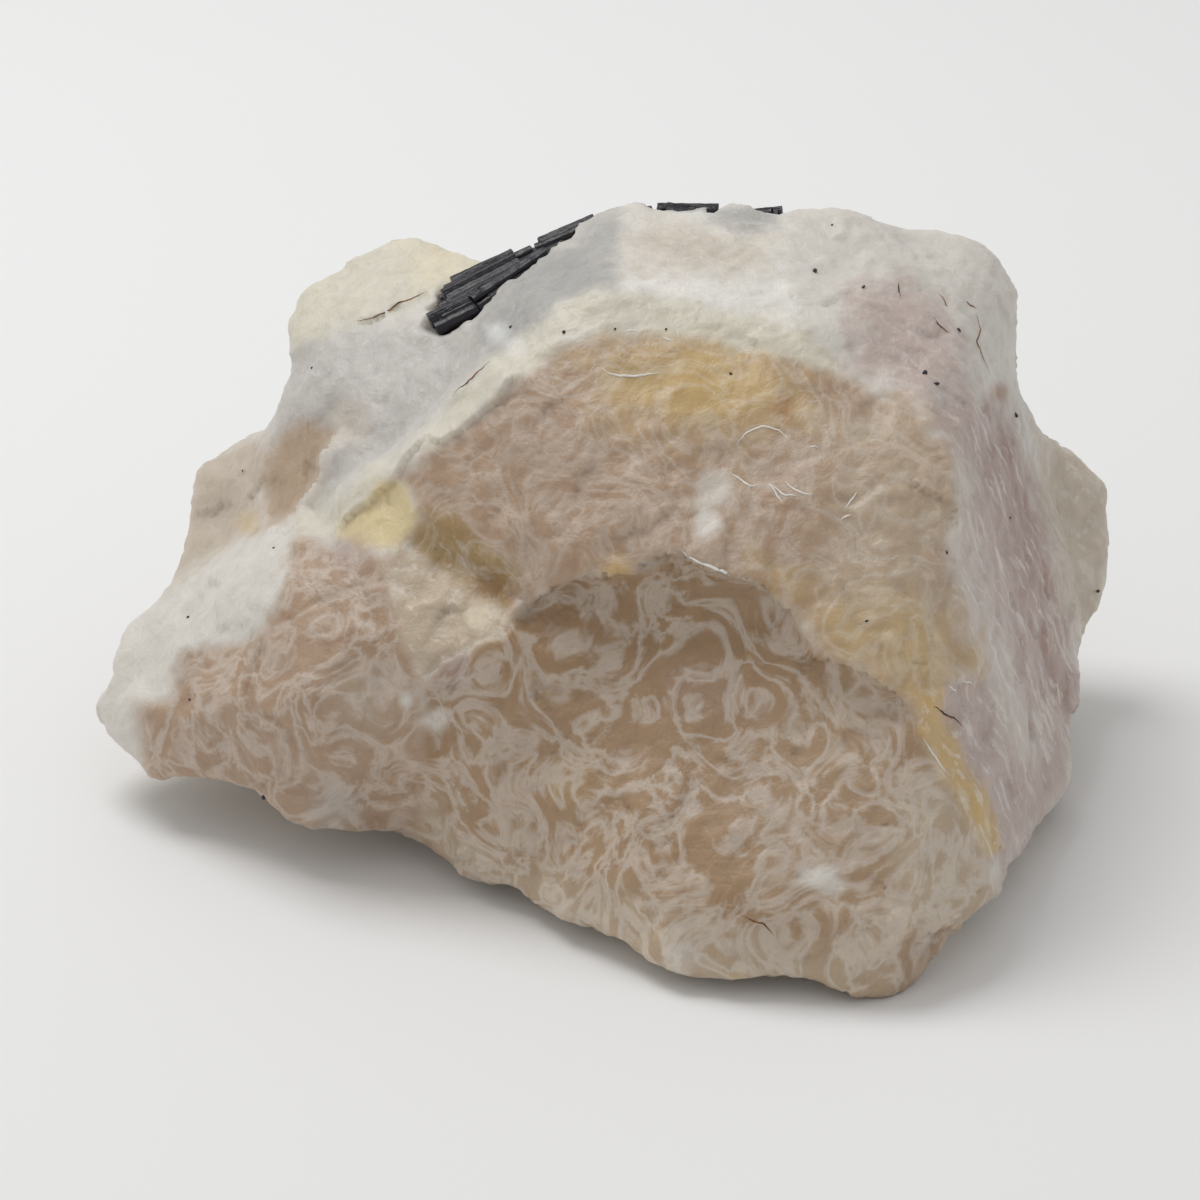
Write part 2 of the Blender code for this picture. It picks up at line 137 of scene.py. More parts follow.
# Ledges: line, rise of the near side and drop of the far side in mm, and how far each reaches in mm. The near side
# is on the left of the line as it runs.
LEDGES = (
    (BROW_LEFT, -0.6, 0.7, 4.0),
    (BROW_RIGHT, -0.5, 0.3, 5.0),
    (BAND_FOOT, 0.45, 0.35, 3.0),
    (WEDGE_TOP, -0.5, 0.6, 3.0),
    (WEDGE_FOOT, 0.5, 0.5, 3.0),
    (LIP_LEFT, 0.6, 0.9, 3.5),
    (LIP_RIGHT, 0.7, 0.8, 3.0),
    (LIP_LOW, 0.5, 0.5, 3.5),
    (SHELF, -0.7, 0.7, 4.0),
    (FRONT_EDGE, -0.4, 0.4, 4.0),
    (PATCH_TOP, -0.3, 0.4, 2.5),
    (EDGE_BACK, 0.3, 0.3, 2.5),
    (LOBE_VALLEY, -0.5, 0.4, 3.0),
    (LOBE_BRINK, -0.4, 0.6, 3.0),
    (RIB, 0.7, 0.5, 2.5),
    (CREAM_CRACK, 0.3, 0.4, 2.5),
    (CORNER_LIP, 0.4, 0.6, 2.5),
)


def linear(byte):
    share = byte / 255
    return share / 12.92 if share <= 0.04045 else ((share + 0.055) / 1.055) ** 2.4


def smooth_step(values, low, high):
    share = np.clip((values - low) / (high - low), 0, 1)
    return share * share * (3 - 2 * share)


def add_piece(name, mesh):
    piece = bpy.data.objects.new(name, mesh)
    bpy.context.scene.collection.objects.link(piece)
    return piece


def settle(piece):
    """Turns what the modifiers make into the piece's own plain mesh."""
    graph = bpy.context.evaluated_depsgraph_get()
    mesh = bpy.data.meshes.new_from_object(piece.evaluated_get(graph))
    piece.modifiers.clear()
    piece.data = mesh
    mesh.name = piece.name


def corners_of(mesh):
    """The mesh's corners in mm."""
    places = np.empty(len(mesh.vertices) * 3, np.float32)
    mesh.vertices.foreach_get("co", places)
    return places.reshape(-1, 3).astype(float) / MM


def normals_of(mesh):
    normals = np.empty(len(mesh.vertices) * 3, np.float32)
    mesh.vertex_normals.foreach_get("vector", normals)
    return normals.reshape(-1, 3).astype(float)


def edges_of(mesh):
    edges = np.empty(len(mesh.edges) * 2, np.int32)
    mesh.edges.foreach_get("vertices", edges)
    return edges.reshape(-1, 2)


def put_corners(mesh, places):
    mesh.vertices.foreach_set("co", (places * MM).astype(np.float32).ravel())
    mesh.update()


def spread(values, edges, times, share=0.5):
    """Each corner's values drawn towards the mean of its neighbours', this many times."""
    count = len(values)
    first, second = edges[:, 0], edges[:, 1]
    met = np.bincount(first, minlength=count) + np.bincount(second, minlength=count)
    for _ in range(times):
        for column in range(values.shape[1]):
            one = values[:, column]
            total = np.bincount(first, one[second], count) + np.bincount(second, one[first], count)
            values[:, column] = one + share * (total / met - one)
    return values


def on_picture(places):
    """Where places in mm are seen on the front view: px from the left, px from the top, and depth in mm."""
    from_middle = places - MIDDLE
    depth = from_middle @ AWAY
    scale = PIXELS_PER_MM / (1 + depth / SIGHT)
    x = PICTURE / 2 + (from_middle @ ACROSS) * scale
    y = PICTURE / 2 - (from_middle @ UP) * scale
    return np.stack((x, y), 1), depth


def sight_line(x, y):
    """The direction from the eye through this px of the front view."""
    across = (x - PICTURE / 2) / PIXELS_PER_MM
    up = (PICTURE / 2 - y) / PIXELS_PER_MM
    direction = AWAY * SIGHT + ACROSS * across + UP * up
    return direction / np.linalg.norm(direction)


def tree_of(mesh):
    """A search tree of the mesh, in mm."""
    places = [Vector(place) for place in corners_of(mesh)]
    return BVHTree.FromPolygons(places, [tuple(face.vertices) for face in mesh.polygons])


def on_stone(tree, x, y):
    """The place and normal, in mm, where this px of the front view meets the stone."""
    place, normal, _, _ = tree.ray_cast(Vector(EYE), Vector(sight_line(x, y)))
    if place is None:
        raise RuntimeError(f"nothing of the stone is seen at {x}, {y}")
    return place, normal


def in_sight(tree, places, normals):
    """1 for corners that the front view's eye sees, and 0 for the others."""
    seen = np.zeros(len(places))
    eye = Vector(EYE)
    to_eye = EYE - places
    distance = np.linalg.norm(to_eye, axis=1)
    for index in np.nonzero((normals * to_eye).sum(1) > 0)[0]:
        toward = Vector(-to_eye[index])
        met = tree.ray_cast(eye, toward, distance[index] - HIDDEN_BY)
        seen[index] = met[0] is None
    return seen


def along_line(points, line):
    """For each point, its distance from the line in px, positive on the line's left, and the share of the line's
    length at which the line comes nearest."""
    nearest = np.full(len(points), np.inf)
    side = np.ones(len(points))
    share = np.zeros(len(points))
    corners = np.array(line, float)
    steps = np.diff(corners, axis=0)
    lengths = np.linalg.norm(steps, axis=1)
    gone = 0.0
    for start, step, length in zip(corners, steps, lengths):
        offset = points - start
        at = np.clip(offset @ step / length**2, 0, 1)
        gap = np.linalg.norm(offset - at[:, None] * step, axis=1)
        closer = gap < nearest
        nearest[closer] = gap[closer]
        cross = offset[:, 0] * step[1] - offset[:, 1] * step[0]
        side[closer] = np.where(cross[closer] > 0, 1, -1)
        share[closer] = ((gone + at * length) / lengths.sum())[closer]
        gone += length
    return nearest * side, share


def inside(points, outline):
    """For each point, how far in px it lies inside a closed outline, negative outside it."""
    gap, _ = along_line(points, outline + outline[:1])
    within = np.zeros(len(points), bool)
    x, y = points[:, 0], points[:, 1]
    for (x1, y1), (x2, y2) in zip(outline, outline[1:] + outline[:1]):
        if y1 != y2:
            crosses = (y1 > y) != (y2 > y)
            within ^= crosses & (x < (x2 - x1) * (y - y1) / (y2 - y1) + x1)
    return np.abs(gap) * np.where(within, 1, -1)


def noise_at(places, size, octaves=2):
    """Fractal noise of this size in mm, about -1 to 1."""
    return np.array([noise.fractal(Vector(place) / size, 0.6, 2.0, octaves) for place in places])


def chips_at(places, size):
    """Tilted chips of this size in mm: how far each place stands out, from about -0.5 to 0.5."""
    rises = np.empty(len(places))
    for index, place in enumerate(places):
        at = Vector(place) / size
        _, centres = noise.voronoi(at)
        tilt = noise.noise_vector(centres[0] * 7.3)
        rises[index] = (at - centres[0]).dot(tilt)
    return rises


# Closed outlines of the soft patches, in px of the front view
GREY_PLANE = (
    (262, 455), (290, 380), (300, 340), (345, 325), (430, 322), (470, 322), (500, 300), (560, 300),
    (528, 333), (514, 355), (491, 360), (452, 397), (418, 429), (395, 456), (345, 490), (320, 478),
    (322, 455), (340, 425),
)
FLANK_BROWN = (
    (262, 452), (258, 470), (262, 495), (263, 522), (293, 518), (305, 500), (320, 478), (322, 455),
    (336, 432), (300, 422),
)
LEFT_BLOCK = (
    (190, 480), (215, 450), (262, 435), (262, 522), (240, 538), (225, 551), (195, 570), (165, 600),
    (175, 530),
)
CREAM_BLOCK = (
    (285, 345), (285, 300), (320, 265), (370, 240), (410, 230), (490, 262), (455, 285), (430, 292),
    (400, 310), (355, 322),
)
CREAM_STRAW = ((400, 240), (440, 236), (488, 262), (455, 283), (420, 285))
GREY_LUMP = (
    (478, 335), (484, 303), (522, 267), (570, 240), (600, 285), (555, 303), (528, 333), (514, 355),
    (491, 360),
)
PANEL_LEFT = ((560, 290), (556, 262), (587, 222), (620, 204), (625, 250), (618, 289), (588, 289))
PANEL_MIDDLE = (
    (618, 289), (620, 245), (640, 222), (700, 206), (790, 206), (785, 245), (800, 300), (800, 333),
    (760, 318), (700, 300),
)
PANEL_STREAK = ((630, 240), (650, 222), (720, 225), (780, 240), (770, 268), (680, 272), (630, 265))
BLUE_LUMP = ((708, 206), (777, 206), (777, 224), (740, 231), (708, 225))
PANEL_RIGHT = (
    (785, 206), (830, 200), (880, 210), (900, 230), (905, 300), (880, 340), (850, 372), (800, 333),
)
RIGHT_TOP = (
    (900, 226), (960, 230), (1005, 258), (1024, 310), (1022, 380), (1000, 400), (975, 380),
    (960, 320), (905, 300),
)
MAUVE_SHOULDER = (
    (850, 290), (905, 280), (940, 300), (960, 340), (975, 400), (925, 397), (900, 386), (850, 372),
)
RIGHT_FACE = (
    (925, 397), (975, 390), (1010, 430), (1040, 480), (1050, 560), (1075, 640), (1080, 720),
    (1065, 790), (1025, 850), (1005, 866), (994, 857), (989, 845), (953, 790), (924, 736),
    (909, 706), (978, 662), (960, 611), (948, 553), (958, 532), (973, 480), (953, 456), (930, 428),
)
RIGHT_STRIP = (
    (945, 500), (965, 500), (985, 570), (1020, 690), (1040, 760), (1015, 760), (985, 690), (965, 620),
)
RIGHT_DARK = ((1000, 400), (1022, 440), (1048, 520), (1060, 620), (1070, 700), (1045, 690), (1015, 560), (985, 450))
RIGHT_LOBE = (
    (1038, 425), (1085, 445), (1115, 485), (1113, 560), (1088, 640), (1062, 600), (1050, 540),
    (1040, 480),
)
UPPER_FRONT = (
    (409, 532), (419, 519), (409, 498), (395, 477), (441, 441), (480, 409), (528, 372), (560, 345),
    (640, 335), (740, 340), (830, 360), (867, 391), (905, 392), (921, 420), (953, 456), (955, 504),
    (948, 553), (960, 611), (978, 662), (909, 706), (877, 680), (831, 660), (794, 618), (785, 607),
    (722, 574), (680, 551), (637, 576), (574, 578), (547, 593), (512, 619), (489, 604), (443, 573),
)
BROW_BAND = (
    (297, 521), (345, 490), (367, 464), (395, 456), (438, 409), (491, 360), (528, 333), (555, 303),
    (588, 289), (640, 288), (700, 300), (760, 318), (800, 333), (850, 372), (830, 368), (760, 350),
    (690, 335), (620, 325), (570, 335), (528, 372), (510, 379), (480, 409), (441, 441), (404, 454),
    (370, 500), (342, 518), (335, 535),
)
OCHRE_FRONT = ((600, 350), (650, 335), (760, 340), (800, 365), (805, 420), (740, 435), (660, 430), (600, 400))
UPPER_RIGHT = ((830, 420), (910, 410), (950, 460), (945, 560), (960, 640), (900, 690), (840, 650), (820, 540))
LOWER_OCHRE = ((760, 560), (830, 600), (950, 620), (975, 662), (909, 706), (860, 670), (800, 625))
YELLOW_WEDGE = (
    (335, 535), (342, 518), (370, 500), (376, 482), (395, 477), (409, 498), (419, 519), (409, 532),
    (398, 544), (379, 549), (356, 547),
)
OLIVE_VALLEY = (
    (417, 505), (450, 510), (490, 545), (520, 570), (510, 611), (489, 604), (465, 587), (443, 573),
    (415, 545),
)
PALE_WEDGE = (
    (398, 546), (424, 558), (443, 573), (465, 587), (489, 604), (511, 614), (512, 624), (504, 638),
    (487, 639), (445, 660), (424, 682), (400, 640), (390, 600), (392, 556),
)
# Outline of the painted shade in the hollow under the lip
HOLLOW_SHADE = (
    (512, 619), (547, 593), (574, 578), (637, 576), (680, 551), (722, 574), (785, 607), (794, 618),
    (795, 656), (831, 660), (820, 700), (700, 670), (600, 680), (520, 690), (470, 660), (504, 638),
)
LOWER_FRONT = (
    (512, 619), (547, 593), (574, 578), (637, 576), (680, 551), (722, 574), (785, 607), (794, 618),
    (831, 660), (877, 680), (909, 706), (924, 736), (953, 790), (989, 845), (994, 901), (960, 930),
    (900, 1000), (820, 1000), (700, 995), (600, 960), (500, 900), (410, 845), (424, 682), (487, 639),
)
LOWER_RIGHT = ((780, 700), (880, 700), (925, 760), (970, 850), (960, 920), (860, 930), (780, 880), (740, 780))
BOTTOM_STRIP = (
    (415, 800), (500, 850), (600, 890), (700, 930), (800, 950), (900, 925), (900, 1005), (820, 1005),
    (700, 1000), (600, 965), (500, 905), (400, 850),
)
LEFT_LOBE = (
    (300, 533), (335, 548), (392, 556), (395, 600), (424, 682), (425, 845), (330, 845), (240, 808),
    (140, 785), (134, 704), (165, 700), (183, 648), (243, 642), (278, 605), (286, 580), (287, 540),
)
LOBE_FACET = (
    (294, 519), (241, 538), (195, 570), (165, 590), (115, 650), (85, 700), (134, 704), (165, 700),
    (183, 648), (243, 642), (278, 605), (287, 540), (300, 533),
)
LEFT_TIP = ((85, 680), (134, 700), (150, 790), (95, 750))
GROOVE = (
    (914, 690), (940, 690), (955, 730), (985, 790), (1002, 850), (990, 850), (953, 790), (924, 736),
)
GROOVE_HOT = ((972, 790), (990, 800), (1002, 850), (990, 852))
SHELF_FACE = ((905, 780), (950, 790), (989, 845), (994, 900), (960, 927), (900, 925), (890, 850))
OVERHANG = ((908, 932), (962, 927), (992, 900), (970, 960), (915, 1000), (895, 990))
WHITE_PATCH = ((795, 881), (805, 867), (836, 864), (847, 885), (834, 895), (810, 889))
GREY_TONGUE = ((690, 505), (700, 480), (707, 469), (725, 472), (732, 487), (728, 505), (705, 512))
WHITE_CLUMP = ((690, 522), (700, 508), (716, 512), (722, 528), (708, 538), (694, 534))

# Patches of tint, laid one over the other: tint, softness in mm, strength, outline
PATCHES = (
    ("grey", 2.0, 1.0, GREY_PLANE),
    ("cream", 1.5, 1.0, CREAM_BLOCK),
    ("straw", 2.5, 0.9, CREAM_STRAW),
    ("blush", 1.5, 0.9, LEFT_BLOCK),
    ("clay", 1.5, 0.9, FLANK_BROWN),
    ("pale", 1.5, 1.0, LOBE_FACET),
    ("smoke", 1.5, 0.9, GREY_LUMP),
    ("smoke", 1.5, 0.8, PANEL_LEFT),
    ("white", 1.5, 0.9, PANEL_MIDDLE),
    ("blush", 2.5, 0.7, PANEL_STREAK),
    ("smoke", 1.2, 0.8, BLUE_LUMP),
    ("pale", 1.5, 0.9, PANEL_RIGHT),
    ("pale", 1.5, 0.9, RIGHT_TOP),
    ("mauve", 2.5, 0.9, MAUVE_SHOULDER),
    ("mauve", 1.5, 1.0, RIGHT_FACE),
    ("plum", 3.0, 0.8, RIGHT_DARK),
    ("pale", 2.0, 0.5, RIGHT_STRIP),
    ("blush", 1.5, 0.8, RIGHT_LOBE),
    ("rose_brown", 1.5, 1.0, UPPER_FRONT),
    ("ochre", 5.0, 0.9, OCHRE_FRONT),
    ("sand", 5.0, 0.7, UPPER_RIGHT),
    ("ochre", 4.0, 0.7, LOWER_OCHRE),
    ("cream", 1.2, 0.95, BROW_BAND),
    ("brown", 1.2, 1.0, LOWER_FRONT),
    # Painted shade: darker umber in the hollow under the lip
    ("umber", 4.0, 0.35, HOLLOW_SHADE),
    ("clay", 5.0, 0.5, LOWER_RIGHT),
    ("sand", 4.0, 0.7, BOTTOM_STRIP),
    ("rose_brown", 1.2, 1.0, LEFT_LOBE),
    # Paler thin left tip: partly its own tint, partly painted light shining through the thin edge
    ("pale", 2.0, 0.8, LEFT_TIP),
    ("olive", 1.2, 0.9, OLIVE_VALLEY),
    ("lemon", 0.8, 0.95, YELLOW_WEDGE),
    ("sand", 0.8, 0.95, PALE_WEDGE),
    ("gold", 1.2, 0.8, GROOVE),
    ("gold", 1.0, 0.9, GROOVE_HOT),
    ("sand", 2.5, 0.8, SHELF_FACE),
    ("rose_brown", 1.0, 0.8, OVERHANG),
    ("pale", 0.8, 0.8, WHITE_PATCH),
    ("pale", 0.8, 0.6, GREY_TONGUE),
    ("white", 0.8, 0.7, WHITE_CLUMP),
)

# Round, soft spots of tint: tint, px from the left, px from the top, radius in mm, strength
SPOTS = (
    ("glow", 497, 333, 2.2, 0.8),
    ("rust", 786, 407, 2.6, 0.5),
    ("gold", 705, 380, 7.0, 0.5),
    # Painted shade: a dark spot in the valley above the wedge, under the upper slab
    ("umber", 488, 585, 3.5, 0.6),
    ("plum", 350, 555, 4.0, 0.5),
    ("umber", 380, 622, 4.5, 0.35),
    ("blush", 365, 700, 6.0, 0.4),
    ("plum", 452, 675, 3.5, 0.6),
    ("umber", 434, 748, 2.6, 0.5),
    ("smoke", 335, 810, 5.0, 0.4),
    ("olive", 572, 780, 5.0, 0.4),
    ("umber", 670, 850, 5.0, 0.3),
    ("umber", 725, 900, 3.5, 0.3),
    ("pale", 680, 960, 3.0, 0.5),
    ("gold", 735, 985, 1.8, 0.5),
    ("pale", 406, 700, 1.2, 0.8),
    ("pale", 437, 720, 2.2, 0.7),
    ("gold", 618, 568, 2.5, 0.6),
    ("rust", 1000, 392, 1.8, 0.5),
    ("white", 515, 345, 2.0, 0.5),
    ("straw", 480, 615, 3.0, 0.4),
    ("gold", 245, 522, 2.0, 0.4),
    ("blush", 350, 420, 4.5, 0.5),
    ("plum", 700, 690, 6.0, 0.25),
)

# Where the surface is striated, fibrous or veiled: channel, softness in mm, strength, outline
GRAINS = (
    (0, 2.0, 1.0, RIGHT_FACE),
    (0, 2.0, 0.7, RIGHT_LOBE),
    (0, 3.0, 0.6, MAUVE_SHOULDER),
    (1, 1.0, 1.0, PALE_WEDGE),
    (1, 2.0, 0.6, GREY_PLANE),
    (1, 2.0, 0.8, PANEL_MIDDLE),
    (1, 2.0, 0.7, OLIVE_VALLEY),
    (2, 2.0, 1.0, LOWER_FRONT),
    (2, 2.0, 0.8, LEFT_LOBE),
    (2, 2.0, 0.6, UPPER_FRONT),
)
FAR_GRAIN = (0.3, 0.3, 0.6)

# Patches on the sides that the front view doesn't show: tint, place in mm, radius in mm, strength
FAR_SPOTS = (
    ("sand", (-30, 10, 4), 30, 0.8),
    ("rose_brown", (10, 0, 0), 36, 0.8),
    ("clay", (44, -6, 6), 22, 0.7),
    ("pale", (-30, 42, 40), 20, 0.8),
    ("cream", (-14, 38, 44), 16, 0.7),
    ("blush", (6, 44, 34), 26, 0.8),
    ("smoke", (20, 40, 56), 16, 0.6),
    ("mauve", (40, 42, 36), 24, 0.8),
    ("rose_brown", (-4, 40, 14), 24, 0.8),
    ("ochre", (24, 44, 18), 16, 0.6),
    ("pale", (50, 38, 20), 16, 0.6),
    ("clay", (-46, 32, 16), 20, 0.7),
    ("ochre", (-36, 36, 26), 10, 0.5),
)


def tint(name):
    return np.array([linear(byte) for byte in TINTS[name]])


def near_marks(points, wander):
    """Tint and grain of the corners that the front view shows."""
    colour = np.tile(tint("pale"), (len(points), 1))
    for name, softness, strength, outline in PATCHES:
        depth = inside(points, outline) / PIXELS_PER_MM + wander * softness
        colour += (strength * smooth_step(depth, -softness, softness))[:, None] * (tint(name) - colour)
    for name, x, y, radius, strength in SPOTS:
        away = np.linalg.norm(points - (x, y), axis=1) / PIXELS_PER_MM / radius + wander * 0.3
        colour += (strength * (1 - smooth_step(away, 0.2, 1)))[:, None] * (tint(name) - colour)
    grain = np.zeros((len(points), 3))
    for channel, softness, strength, outline in GRAINS:
        depth = inside(points, outline) / PIXELS_PER_MM + wander * softness
        share = strength * smooth_step(depth, -softness, softness)
        grain[:, channel] = np.maximum(grain[:, channel], share)
    return np.hstack((colour, grain))


def far_marks(places, wander):
    """Tint and grain of the corners that the front view doesn't show."""
    colour = np.tile(tint("blush"), (len(places), 1))
    for name, centre, radius, strength in FAR_SPOTS:
        away = np.linalg.norm(places - centre, axis=1) / radius + wander * 0.3
        colour += (strength * (1 - smooth_step(away, 0.3, 1)))[:, None] * (tint(name) - colour)
    return np.hstack((colour, np.tile(FAR_GRAIN, (len(places), 1))))


def joined_marks(near, far, seen, edges):
    """The near marks where they are seen, fading into the far ones beyond the stone's outline."""
    reach = spread(np.hstack((near * seen[:, None], seen[:, None])), edges, FADE_STEPS)
    beyond = reach[:, :-1] / np.maximum(reach[:, -1:], 1e-6)
    share = np.clip(2 * reach[:, -1:], 0, 1)
    hidden = far + share * (beyond - far)
    return np.where(seen[:, None] > 0, near, hidden)


def ledge_rises(points, seen):
    """How far, in mm, the drawn ledges lift or lower the corners."""
    rises = np.zeros(len(points))
    for line, rise, drop, reach in LEDGES:
        gap, share = along_line(points, line)
        gap /= PIXELS_PER_MM
        ends = smooth_step(share, 0.0, 0.08) * (1 - smooth_step(share, 0.92, 1.0))
        lift = np.where(gap > 0, rise, -drop) * np.exp(-np.abs(gap) / reach)
        rises += lift * ends
    return rises * seen


def quartz_surface(cell, chip_rise, rough_rise):
    """The worked-over mesh of the quartz."""
    shape = bmesh.new()
    shape.from_mesh(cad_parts["rose_quartz"].data)
    bmesh.ops.remove_doubles(shape, verts=shape.verts, dist=1e-7)
    mesh = bpy.data.meshes.new("quartz_lump")
    shape.to_mesh(mesh)
    shape.free()
    mesh.materials.clear()
    stone = add_piece("quartz_lump", mesh)
    skin = stone.modifiers.new("Skin", "REMESH")
    skin.mode = "VOXEL"
    skin.voxel_size = cell
    skin.use_smooth_shade = True
    settle(stone)

    mesh = stone.data
    edges = edges_of(mesh)
    places = corners_of(mesh)
    on_ground = places[:, 2] < 0.3
    places = spread(places, edges, SMOOTHING)
    put_corners(mesh, places)
    normals = normals_of(mesh)
    tree = tree_of(mesh)
    seen = in_sight(tree, places, normals)
    points, _ = on_picture(places)

    rises = chip_rise / MM * (chips_at(places, 7.0) + 0.5 * chips_at(places + 31, 3.2))
    rises += rough_rise / MM * (noise_at(places, 2.6, 3) + 0.6 * noise_at(places, 9.0, 2))
    rises += ledge_rises(points, seen)
    worked = places + normals * rises[:, None]
    worked[on_ground, 2] = 0
    worked[:, 2] = np.maximum(worked[:, 2], 0)
    put_corners(mesh, worked)

    wander = 0.6 * noise_at(places, 4.0, 3)
    marks = joined_marks(near_marks(points, wander), far_marks(places, wander), seen, edges)
    for name, columns in (("tint", marks[:, :3]), ("grain", marks[:, 3:])):
        layer = mesh.attributes.new(name, "FLOAT_COLOR", "POINT")
        full = np.hstack((np.clip(columns, 0, 1), np.ones((len(marks), 1))))
        layer.data.foreach_set("color", full.astype(np.float32).ravel())
    return stone



class Number:
    """A number that varies over a surface, written in plain sums."""

    def __init__(self, tree, socket):
        self.tree = tree
        self.socket = socket

    def worked(self, operation, *values):
        made = self.tree.nodes.new("ShaderNodeMath")
        made.operation = operation
        for slot, value in zip(made.inputs, values):
            if isinstance(value, Number):
                self.tree.links.new(value.socket, slot)
            else:
                slot.default_value = value
        return Number(self.tree, made.outputs[0])

    def __add__(self, other):
        return self.worked("ADD", self, other)

    def __sub__(self, other):
        return self.worked("SUBTRACT", self, other)

    def __rsub__(self, other):
        return self.worked("SUBTRACT", other, self)

    def __mul__(self, other):
        return self.worked("MULTIPLY", self, other)

    def __abs__(self):
        return self.worked("ABSOLUTE", self)

    __radd__ = __add__
    __rmul__ = __mul__


class Nodes:
    """A node tree and the one way in which its nodes are made."""

    def __init__(self, tree):
        self.tree = tree

    def put(self, slot, value):
        if isinstance(value, Number):
            value = value.socket
        if isinstance(value, bpy.types.NodeSocket):
            self.tree.links.new(value, slot)
        else:
            slot.default_value = value

    def node(self, kind, settings=None, values=None):
        """A node of this kind: its settings first, then the values or links of its sockets."""
        made = self.tree.nodes.new(kind)
        for key, value in (settings or {}).items():
            setattr(made, key, value)
        for key, value in (values or {}).items():
            self.put(made.inputs[key], value)
        return made

    def number(self, socket):
        return Number(self.tree, socket)


class Finish(Nodes):
    """One material and the nodes that make it."""

    def __init__(self, name):
        self.material = bpy.data.materials.new(name)
        self.material.use_nodes = True
        super().__init__(self.material.node_tree)
        self.surface = self.tree.nodes["Principled BSDF"]
        self.place = self.node("ShaderNodeTexCoord").outputs["Object"]

    def noise(self, size, detail=2.0, roughness=0.5, distortion=0.0, place=None):
        """Cloudy noise of this size in metres, about 0 to 1."""
        values = {"Scale": 1 / size, "Detail": detail, "Roughness": roughness, "Distortion": distortion}
        values["Vector"] = place or self.place
        return self.number(self.node("ShaderNodeTexNoise", {}, values).outputs["Fac"])

    def turned(self, turn, stretch):
        """The place, turned and then stretched along its axes, for striae."""
        values = {"Vector": self.place, "Rotation": [math.radians(angle) for angle in turn]}
        turned = self.node("ShaderNodeMapping", {"vector_type": "TEXTURE"}, values).outputs[0]
        return self.node("ShaderNodeMapping", {}, {"Vector": turned, "Scale": stretch}).outputs[0]

    def step(self, value, low, high):
        """0 below low, 1 above high and smooth between them."""
        settings = {"interpolation_type": "SMOOTHSTEP"}
        return self.number(self.node("ShaderNodeMapRange", settings, {0: value, 1: low, 2: high}).outputs[0])

    def blend(self, share, first, second, how="MIX"):
        settings = {"data_type": "RGBA", "blend_type": how, "clamp_factor": True}
        return self.node("ShaderNodeMix", settings, {0: share, 6: first, 7: second}).outputs[2]

    def channels(self, name):
        colour = self.node("ShaderNodeAttribute", {"attribute_name": name}).outputs["Color"]
        parts = self.node("ShaderNodeSeparateColor", {}, {0: colour})
        return [self.number(part) for part in parts.outputs]

    def bump(self, height, distance):
        bumped = self.node("ShaderNodeBump", {}, {"Height": height, "Distance": distance})
        self.put(self.surface.inputs["Normal"], bumped.outputs[0])

    def wear(self, **values):
        """Sets the surface's own values or links them."""
        for key, value in values.items():
            self.put(self.surface.inputs[key.replace("_", " ")], value)


def flat(name):
    return (*tint(name), 1)


def quartz_finish():
    """Milky quartz: patches of tint under veils and mottling, finely broken, a little translucent."""
    finish = Finish("milky_quartz")
    tinted = finish.node("ShaderNodeAttribute", {"attribute_name": "tint"}).outputs["Color"]
    striae, fibres, veils = finish.channels("grain")

    cloudy = finish.noise(0.011, 4, 0.6, 0.6)
    mottled = finish.noise(0.0028, 5, 0.65, 0.4)
    fine = finish.noise(0.0007, 3, 0.6)
    wisps = finish.noise(0.0075, 4, 0.55, 1.6)
    veil = (1 - abs(wisps - 0.5) * 9.0) * veils
    long_grain = finish.noise(0.0011, 4, 0.6, 0.2, finish.turned((20, -12, 0), (1.0, 0.8, 0.09)))
    cross_grain = finish.noise(0.0010, 4, 0.6, 0.2, finish.turned((10, 38, 0), (0.09, 0.8, 1.0)))

    colour = finish.blend(finish.step(veil, 0.0, 1.0) * 0.35, tinted, flat("white"))
    colour = finish.blend(finish.step(long_grain, 0.52, 0.66) * striae * 0.45, colour, flat("white"))
    colour = finish.blend(finish.step(cross_grain, 0.54, 0.7) * fibres * 0.4, colour, flat("white"))
    shade = 0.74 + cloudy * 0.26 + mottled * 0.22 + fine * 0.06
    colour = finish.blend(1.0, colour, shade, "MULTIPLY")

    height = mottled * 0.55 + fine * 0.12 + long_grain * striae * 0.35 + cross_grain * fibres * 0.3
    finish.wear(Base_Color=colour, Roughness=0.36 + mottled * 0.2, IOR=1.54)
    finish.wear(Subsurface_Weight=0.35, Subsurface_Scale=0.004, Subsurface_Radius=(1.0, 0.8, 0.62))
    finish.bump(height, 0.0007)
    return finish.material


def black_finish():
    """Black tourmaline: glassy, and in places rougher and lighter purple-blue: partly wear, partly a painted
    purple-blue sheen.
    """
    finish = Finish("black_tourmaline")
    wear_and_sheen = finish.noise(0.0016, 4, 0.6)
    share = finish.step(wear_and_sheen, 0.55, 0.75)
    # The lighter purple-blue patches are partly wear, partly a painted sheen
    colour = finish.blend(share, (0.006, 0.004, 0.008, 1), (0.035, 0.026, 0.05, 1))
    finish.wear(Base_Color=colour, Roughness=0.22 + wear_and_sheen * 0.3)
    finish.bump(wear_and_sheen, 0.0003)
    return finish.material


def glint_finish():
    """Painted highlights: white, glossy lines standing for the light that fresh breaks catch."""
    finish = Finish("fresh_break")
    uneven = finish.noise(0.001, 3, 0.5)
    colour = finish.blend(uneven, flat("pale"), (0.95, 0.93, 0.88, 1))
    finish.wear(Base_Color=colour, Roughness=0.15 + uneven * 0.2, IOR=1.54)
    return finish.material


